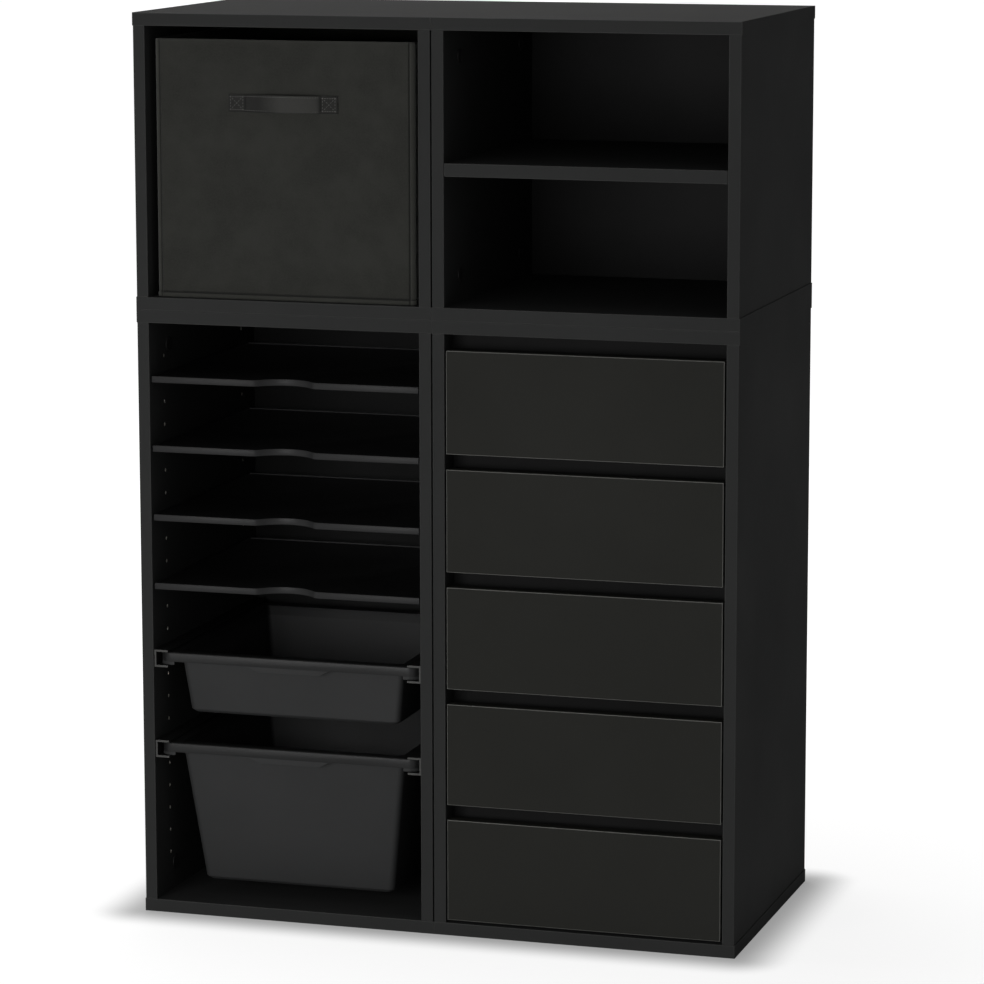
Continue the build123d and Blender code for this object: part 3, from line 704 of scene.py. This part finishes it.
# ------------------------------------------------------------ the fabric bin
# A sewn box of dark cloth over card: seams near its corners, a welt along its lower edge, and its top edge
# turned over and pressed. Its panels belly out a little, and the cloth is never quite flat.
bin_low, bin_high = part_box("fabric_bin_shell")
bin_corner = 0.007
bin_wall = 0.0042
seam_from_corner = 0.0065
seam_width = 0.0011
seam_depth = 0.0015
welt_height = 0.0062
welt_groove = 0.0008  # width and depth of the groove above the welt
welt_swell = 0.0007
hem_height = 0.0030
hem_swell = 0.0002
roll_radius = 0.002  # of the turned top edge
inner_steps = 40
belly = {"front": 0.0012, "side": 0.0022, "back": 0.0016}
ripple = 0.00045
droop_depth = 0.0008
cloth_black = (0.0165, 0.0168, 0.0145)
cloth_faded = (0.0250, 0.0254, 0.0224)
cloth_gloss = 0.12


def spread_points(length, fine, coarse, dense):
    """Distances from 0 to length, a fine step apart within dense of both ends and a coarse step between."""
    near = [fine * step for step in range(int(dense / fine) + 1)]
    count = max(1, round((length - 2 * near[-1]) / coarse))
    middle = [near[-1] + (length - 2 * near[-1]) * step / count for step in range(1, count)]
    return near + middle + [length - distance for distance in reversed(near)]


def notch(distance, width, depth):
    """How far a stitched seam draws the cloth in, at a distance from the seam's line."""
    return depth * exp(-((distance / width) ** 2))


def wall_columns(low, high, corner):
    """Points round the bin's plan, each as (x, y, outward x, outward y, panel, distance from the corner,
    share along the panel, distance round the bin)."""
    turns = 6
    spans = (
        ("front", low.x, low.y, 1, 0, high.x - low.x),
        ("side", high.x, low.y, 0, 1, high.y - low.y),
        ("back", high.x, high.y, -1, 0, high.x - low.x),
        ("side", low.x, high.y, 0, -1, high.y - low.y),
    )
    columns, round_bin = [], 0.0
    for panel, start_x, start_y, along_x, along_y, length in spans:
        straight = length - 2 * corner
        for distance in spread_points(straight, 0.0006, 0.006, 0.0096):
            x = start_x + along_x * (corner + distance)
            y = start_y + along_y * (corner + distance)
            edge = min(distance, straight - distance) + corner
            columns.append((x, y, along_y, -along_x, panel, edge, distance / straight, round_bin + distance))
        round_bin += straight
        centre_x = start_x + along_x * (length - corner) - along_y * corner
        centre_y = start_y + along_y * (length - corner) + along_x * corner
        for step in range(1, turns):
            angle = radians(90 * step / turns)
            out_x = along_y * cos(angle) + along_x * sin(angle)
            out_y = -along_x * cos(angle) + along_y * sin(angle)
            place = (centre_x + corner * out_x, centre_y + corner * out_y)
            columns.append((*place, out_x, out_y, panel, corner / 2, 1.0, round_bin + corner * angle))
        round_bin += corner * pi / 2
    return columns, round_bin


def cloth_painted_light_and_shade(edge, height):
    """Painted shade below 0 in the seams' grooves; painted light above 0 on the corner folds, the welt and
    the top edge.
    """
    full = bin_high.z - bin_low.z
    groove = notch(edge - seam_from_corner, 1.1 * seam_width, 1.0) + notch(height - welt_height, 0.0012, 0.9)
    fold = 0.75 * (edge < seam_from_corner - seam_width) + 0.6 * (height < welt_height - 0.001)
    top = notch(full - height, 0.0022, 0.8)
    return max(-1.0, min(1.0, max(fold, top) - 1.4 * groove))


def cloth_swell(panel, edge, share, height, x, y):
    """How far the outer cloth stands off the flat panel at a height above the bin's foot."""
    full = bin_high.z - bin_low.z
    rise = min(max(height / full, 0.0), 1.0)
    bulge = belly[panel] * sin(pi * share) ** 0.8 * sin(pi * rise) ** 0.6
    wave = ripple * noise.noise(Vector((22 * x, 22 * y, 14 * height))) * sin(pi * share)
    seam = notch(edge - seam_from_corner, seam_width, seam_depth)
    welt = welt_swell * (height < welt_height) - notch(height - welt_height, welt_groove, welt_groove)
    hem = hem_swell * (full - height < hem_height)
    return bulge + wave - seam + welt + hem


def ring_faces(rings, count):
    """Quads between rings of count points each, and a lid over the first and the last ring."""
    faces = []
    for ring in range(rings - 1):
        for spot in range(count):
            after = (spot + 1) % count
            low, high = ring * count, (ring + 1) * count
            faces.append((low + spot, low + after, high + after, high + spot))
    return faces + [tuple(reversed(range(count))), tuple(range((rings - 1) * count, rings * count))]


def cloth_shell_mesh():
    """The cloth as rings of points, up the outside, over the turned edge and down the inside."""
    columns, round_bin = wall_columns(bin_low, bin_high, bin_corner)
    full = bin_high.z - bin_low.z
    roll_low = full - roll_radius
    rings = [(height, None) for height in spread_points(roll_low, 0.0008, 0.006, 0.0185)]
    roll_steps = 7
    for step in range(1, roll_steps):
        turn = pi * step / roll_steps
        rings.append((roll_low + roll_radius * sin(turn), bin_wall * (1 - cos(turn)) / 2))
    for step in range(inner_steps + 1):
        rings.append((roll_low - step * (roll_low - bin_wall) / inner_steps, bin_wall))
    verts, uvs, painted_light_and_shade = [], [], []
    for height, inward in rings:
        for x, y, out_x, out_y, panel, edge, share, run in columns:
            swell = cloth_swell(panel, edge, share, height, x, y)
            if inward is not None:
                swell = cloth_swell(panel, edge, share, min(height, roll_low), x, y) - inward
                if inward == bin_wall:
                    swell = belly[panel] * sin(pi * share) * sin(pi * height / full) - bin_wall
            droop = droop_depth * noise.noise(Vector((16 * x, 16 * y, 3.0))) * (height / full) ** 6
            verts.append((x + out_x * swell, y + out_y * swell, bin_low.z + height + droop))
            uvs.append((run, height if inward is None else 2 * full - height))
            painted_light_and_shade.append(cloth_painted_light_and_shade(edge, height) if inward != bin_wall else 0.0)
    mesh = bpy.data.meshes.new("fabric_bin_cloth")
    mesh.from_pydata(verts, [], ring_faces(len(rings), len(columns)))
    mesh.attributes.new("painted_light_and_shade", "FLOAT", "POINT").data.foreach_set("value", painted_light_and_shade)
    layer = mesh.uv_layers.new(name="cloth")
    for polygon in mesh.polygons:
        corners = [uvs[mesh.loops[index].vertex_index] for index in polygon.loop_indices]
        wraps = max(u for u, v in corners) - min(u for u, v in corners) > round_bin / 2
        for index, (u, v) in zip(polygon.loop_indices, corners):
            layer.data[index].uv = (u + round_bin if wraps and u < round_bin / 2 else u, v)
    return mesh


def make_weave():
    """A plain weave on the cloth's own UV: raised crossings, thread tone and lint."""
    group, given, result = shader_group(
        "plain_weave",
        {"Pitch": 0.0010, "Lint": 0.5},
        {"Height": "Float", "Thread tone": "Float", "Lint mask": "Float"},
    )
    place = add_node(group, "ShaderNodeTexCoord").outputs["UV"]
    wobble = noise_at(group, place, 90.0, 2.0)
    axes = axes_of(group, place)
    waves = []
    for axis in ("X", "Y"):
        turns = maths(group, "MULTIPLY", maths(group, "DIVIDE", axes[axis], given["Pitch"]), pi)
        shifted = maths(group, "ADD", turns, maths(group, "MULTIPLY", wobble, 2.0))
        waves.append(maths(group, "SINE", shifted))
    crossing = maths(group, "MULTIPLY", waves[0], waves[1])
    slubs = noise_at(group, place, 420.0, 3.0, 0.7)
    height = maths(group, "ADD", crossing, maths(group, "MULTIPLY", slubs, 0.8))
    group.links.new(height, result.inputs["Height"])
    tone = maths(group, "ADD", maths(group, "MULTIPLY", crossing, 0.25), slubs)
    group.links.new(ramp(group, tone, 0.2, 0.8), result.inputs["Thread tone"])
    lint = ramp(group, noise_at(group, place, 700.0, 4.0, 0.75), 0.70, 0.78)
    group.links.new(maths(group, "MULTIPLY", lint, given["Lint"]), result.inputs["Lint mask"])
    return group


plain_weave = make_weave()


def cloth(name, dark, light, pitch, sheen=0.15, rough=0.88):
    """The bin's cloth: a fine weave, cloudy from handling, with painted shade in its seams and painted light
    on its folds.
    """
    material, tree, shader = empty_material(name)
    weave = placed_group(tree, plain_weave, Pitch=pitch, Lint=0.5)
    clouds = ramp(tree, noise_at(tree, object_place(tree), 17.0, 4.0, 0.65), 0.38, 0.62)
    tone = mixed(tree, weave["Thread tone"], rgba(dark), rgba(light))
    handled = mixed(tree, maths(tree, "MULTIPLY", clouds, 0.75), tone, rgba([1.12 * part for part in light]))
    # the attribute paints light on the folds and shade in the seams' grooves
    painted = add_node(tree, "ShaderNodeAttribute", attribute_name="painted_light_and_shade").outputs["Fac"]
    painted_fold_light = maths(tree, "MULTIPLY", painted, 0.55, clamp=True)
    with_fold_light = mixed(tree, painted_fold_light, handled, rgba([2.0 * part for part in light]))
    painted_seam_shade = maths(tree, "MULTIPLY", painted, -0.85, clamp=True)
    shaded = mixed(tree, painted_seam_shade, with_fold_light, rgba([0.2 * part for part in dark]))
    tree.links.new(mixed(tree, weave["Lint mask"], shaded, rgba(dust_grey)), shader.inputs["Base Color"])
    dulled = ramp(tree, weave["Thread tone"], 0.0, 1.0, rough + 0.06, rough - 0.06)
    tree.links.new(dulled, shader.inputs["Roughness"])
    shader.inputs["Specular IOR Level"].default_value = cloth_gloss
    shader.inputs["Sheen Weight"].default_value = sheen
    shader.inputs["Sheen Roughness"].default_value = 0.5
    raised(tree, shader, weave["Height"], 0.5, 0.00025)
    return material


bin_cloth = cloth("bin_cloth", cloth_black, cloth_faded, 0.0009)
fabric_shell = shown("fabric_bin_cloth", cloth_shell_mesh(), bin_cloth, "fabric_bin", 50)
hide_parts("fabric_bin_shell")

# ------------------------------------------------------------ the base board of the fabric bin
# A stiff board covered with the same cloth. It lies loose on the bottom of the bin, which it keeps flat,
# and can be lifted out.
board_gloss = 0.15


def boxed_cloth(name):
    """The bin's cloth for a piece without a UV map, woven on its own place in the bin."""
    material, tree, shader = empty_material(name)
    place = object_place(tree)
    threads = noise_at(tree, place, 900.0, 3.0, 0.7)
    tone = mixed(tree, ramp(tree, threads, 0.3, 0.7), rgba(cloth_black), rgba(cloth_faded))
    tree.links.new(tone, shader.inputs["Base Color"])
    tree.links.new(ramp(tree, threads, 0.0, 1.0, 0.95, 0.8), shader.inputs["Roughness"])
    shader.inputs["Specular IOR Level"].default_value = board_gloss
    raised(tree, shader, threads, 0.5, 0.0003)
    return material


dress(boxed_cloth("base_board_cloth"), "bin_cloth", "fabric_bin_base_board")

# ------------------------------------------------------------ the strap handle of the fabric bin
# A strip of the cloth folded and pressed flat. Its two ends are sewn on as patches with a crossed box of
# stitches, and between them it stands off the bin as a loop for the hand.
strap_low, strap_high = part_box("fabric_bin_handle")
strap_thickness = 0.0022
strap_patch = 0.022
strap_length = strap_high.x - strap_low.x
strap_free = strap_length - 2 * strap_patch
strap_bow = 0.0082
strap_lean = 1.7  # above 1 the loop stands out most to the right of its middle
strap_sag = 0.0006  # how much further out the loop's lower edge hangs
strap_end_pinch, strap_crease_width = 0.0012, 0.0012
strap_dark, strap_light = (0.0115, 0.0115, 0.0104), (0.0215, 0.0215, 0.0200)
front_panel = bin_low.y


def strap_line(along):
    """The middle of the strap at a distance from its left end: x, y, and the loop's rise from 0 to 1."""
    x = strap_low.x + along
    height = (strap_low.z + strap_high.z) / 2 - bin_low.z
    share = (x - bin_low.x - bin_corner) / (bin_high.x - bin_low.x - 2 * bin_corner)
    cloth_y = front_panel - cloth_swell("front", 0.1, share, height, x, front_panel)
    free = (along - strap_patch) / strap_free
    lift = sin(pi * free**strap_lean) ** 0.5 if 0 < free < 1 else 0.0
    return x, cloth_y - strap_thickness / 2 - strap_bow * lift, lift


def strap_painted_light_and_shade(along, up, half_height):
    """Painted shade below 0, on the strap's patches, creases, left and lower edge; painted light above 0 on
    the rest.
    """
    free = (along - strap_patch) / strap_free
    crease = -0.8 * notch(abs(along - strap_length / 2) - strap_free / 2, strap_crease_width, 1.0)
    # painted shade on the patches and at the loop's left, painted light on the rest of the loop
    painted_loop_light = -0.6 + 1.6 * min(max((free - 0.2) / 0.3, 0.0), 1.0) if 0 < free < 1 else -0.3
    # a painted highlight along the upper edge and a painted shadow along the lower edge
    fold = 0.5 if up > 0.93 * half_height else -1.0 if up < -0.93 * half_height else 0.0
    return crease + painted_loop_light + fold


def strap_mesh():
    """A flat band with rounded, folded edges, swept along the strap's line."""
    steps, edge_steps, face_steps = 110, 5, 10
    half_height = (strap_high.z - strap_low.z) / 2
    edge = strap_thickness / 2
    section = []
    for side in (1, -1):
        for step in range(face_steps):
            section.append((side * (half_height - edge) * (1 - 2 * step / face_steps), side * -edge))
        for step in range(edge_steps):
            turn = pi * step / edge_steps
            section.append((-side * (half_height - edge) - side * edge * sin(turn), side * -edge * cos(turn)))
    middle_z = (strap_low.z + strap_high.z) / 2
    verts, uvs, painted_light_and_shade = [], [], []
    for step in range(steps + 1):
        along = strap_length * step / steps
        x, y, lift = strap_line(along)
        pinch = 1 - notch(min(along, strap_length - along), strap_end_pinch, 0.35)
        for up, out in section:
            hang = lift * strap_sag * (0.5 - up / (2 * half_height))
            pad = 1 - 0.12 * (up / half_height) ** 2
            verts.append((x, y + out * pinch * pad - hang, middle_z + up * (1 - 0.01 * lift)))
            uvs.append((along, up + (0.1 if out > 0 else 0.0)))
            painted_light_and_shade.append(strap_painted_light_and_shade(along, up, half_height))
    mesh = bpy.data.meshes.new("fabric_bin_strap")
    mesh.from_pydata(verts, [], ring_faces(steps + 1, len(section)))
    mesh.attributes.new("painted_light_and_shade", "FLOAT", "POINT").data.foreach_set("value", painted_light_and_shade)
    layer = mesh.uv_layers.new(name="cloth")
    for loop in mesh.loops:
        layer.data[loop.index].uv = uvs[loop.vertex_index]
    outward = bmesh.new()
    outward.from_mesh(mesh)
    bmesh.ops.recalc_face_normals(outward, faces=outward.faces)
    outward.to_mesh(mesh)
    outward.free()
    return mesh


strap_cloth = cloth("strap_cloth", strap_dark, strap_light, 0.0008, sheen=0.04, rough=0.66)
strap = shown("fabric_bin_strap", strap_mesh(), strap_cloth, "fabric_bin", 60)
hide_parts("fabric_bin_handle")

# ------------------------------------------------------------ the stitches of the fabric bin
# Lockstitches of thick grey thread: a crossed box on each end of the strap, which holds it to the bin, and
# a row along both edges of its loop. Each stitch is a small rounded bead of thread that lies on the cloth.
stitch_pitch = 0.0032
stitch_length = 0.0023
stitch_radius = 0.00032
stitch_rise = 0.0001
box_inset = 0.0030  # from the edges of a patch to its box of stitches
row_inset = 0.0022  # from the edges of the loop to its rows
row_steps, line_steps = 40, 8
thread_dark, thread_light = (0.080, 0.080, 0.075), (0.115, 0.115, 0.108)


def make_stitch_tree():
    """Lays short rounded stitches along each line of the guide."""
    tree, given, result = geometry_tree(
        "stitches",
        {
            "Pitch": ("Float", stitch_pitch),
            "Length": ("Float", stitch_length),
            "Radius": ("Float", stitch_radius),
            "Material": ("Material", None),
        },
    )
    lines = add_node(tree, "GeometryNodeMeshToCurve", {"Mesh": given["Geometry"]})
    spaced = {"Curve": lines.outputs[0], "Length": given["Pitch"]}
    spots = add_node(tree, "GeometryNodeCurveToPoints", spaced, mode="LENGTH")
    bead = add_node(tree, "GeometryNodeMeshUVSphere", {"Segments": 6, "Rings": 6, "Radius": given["Radius"]})
    stretch = maths(tree, "DIVIDE", maths(tree, "MULTIPLY", given["Length"], 0.5), given["Radius"])
    scale = add_node(tree, "ShaderNodeCombineXYZ", {"X": stretch, "Y": 1.0, "Z": 1.0})
    tangent = {"Vector": spots.outputs["Tangent"]}
    turned = add_node(tree, "FunctionNodeAlignRotationToVector", tangent, axis="X")
    set_out = {
        "Points": spots.outputs["Points"],
        "Instance": bead.outputs["Mesh"],
        "Rotation": turned.outputs[0],
        "Scale": scale.outputs[0],
    }
    finish_instances(tree, set_out, given, result)
    return tree


def line_guide(lines):
    """A mesh of bare edges, one chain for each line of points."""
    verts, edges = [], []
    for line in lines:
        start = len(verts)
        verts += line
        edges += [(start + step, start + step + 1) for step in range(len(line) - 1)]
    guide = bpy.data.meshes.new("line_guide")
    guide.from_pydata(verts, edges, [])
    return guide


def strap_lines():
    """The rows of stitches along the loop, and the box and the cross on both ends of the strap."""
    lines = []
    for level in (strap_low.z + row_inset, strap_high.z - row_inset):
        row = [strap_line(strap_patch + strap_free * step / row_steps) for step in range(row_steps + 1)]
        lines.append([(x, y - strap_thickness / 2, level) for x, y, lift in row])
    for start in (box_inset, strap_length - strap_patch + box_inset):
        left, right = start, start + strap_patch - 2 * box_inset
        low, high = strap_low.z + box_inset, strap_high.z - box_inset
        corners = [(left, low), (right, low), (right, high), (left, high)]
        for first, last in ((0, 1), (1, 2), (2, 3), (3, 0), (0, 2), (1, 3)):
            (from_x, from_z), (to_x, to_z) = corners[first], corners[last]
            line = []
            for share in [step / line_steps for step in range(line_steps + 1)]:
                x, y, lift = strap_line(from_x + (to_x - from_x) * share)
                line.append((x, y - strap_thickness / 2 - stitch_rise, from_z + (to_z - from_z) * share))
            lines.append(line)
    return lines


thread = moulded_plastic("grey_thread", thread_dark, thread_light, 0.6, 3000.0)
stitch_tree = make_stitch_tree()
stitches = grown_mesh("fabric_bin_stitches", line_guide(strap_lines()), stitch_tree, Material=thread)
shown("fabric_bin_stitches", stitches, thread, "fabric_bin", 60)
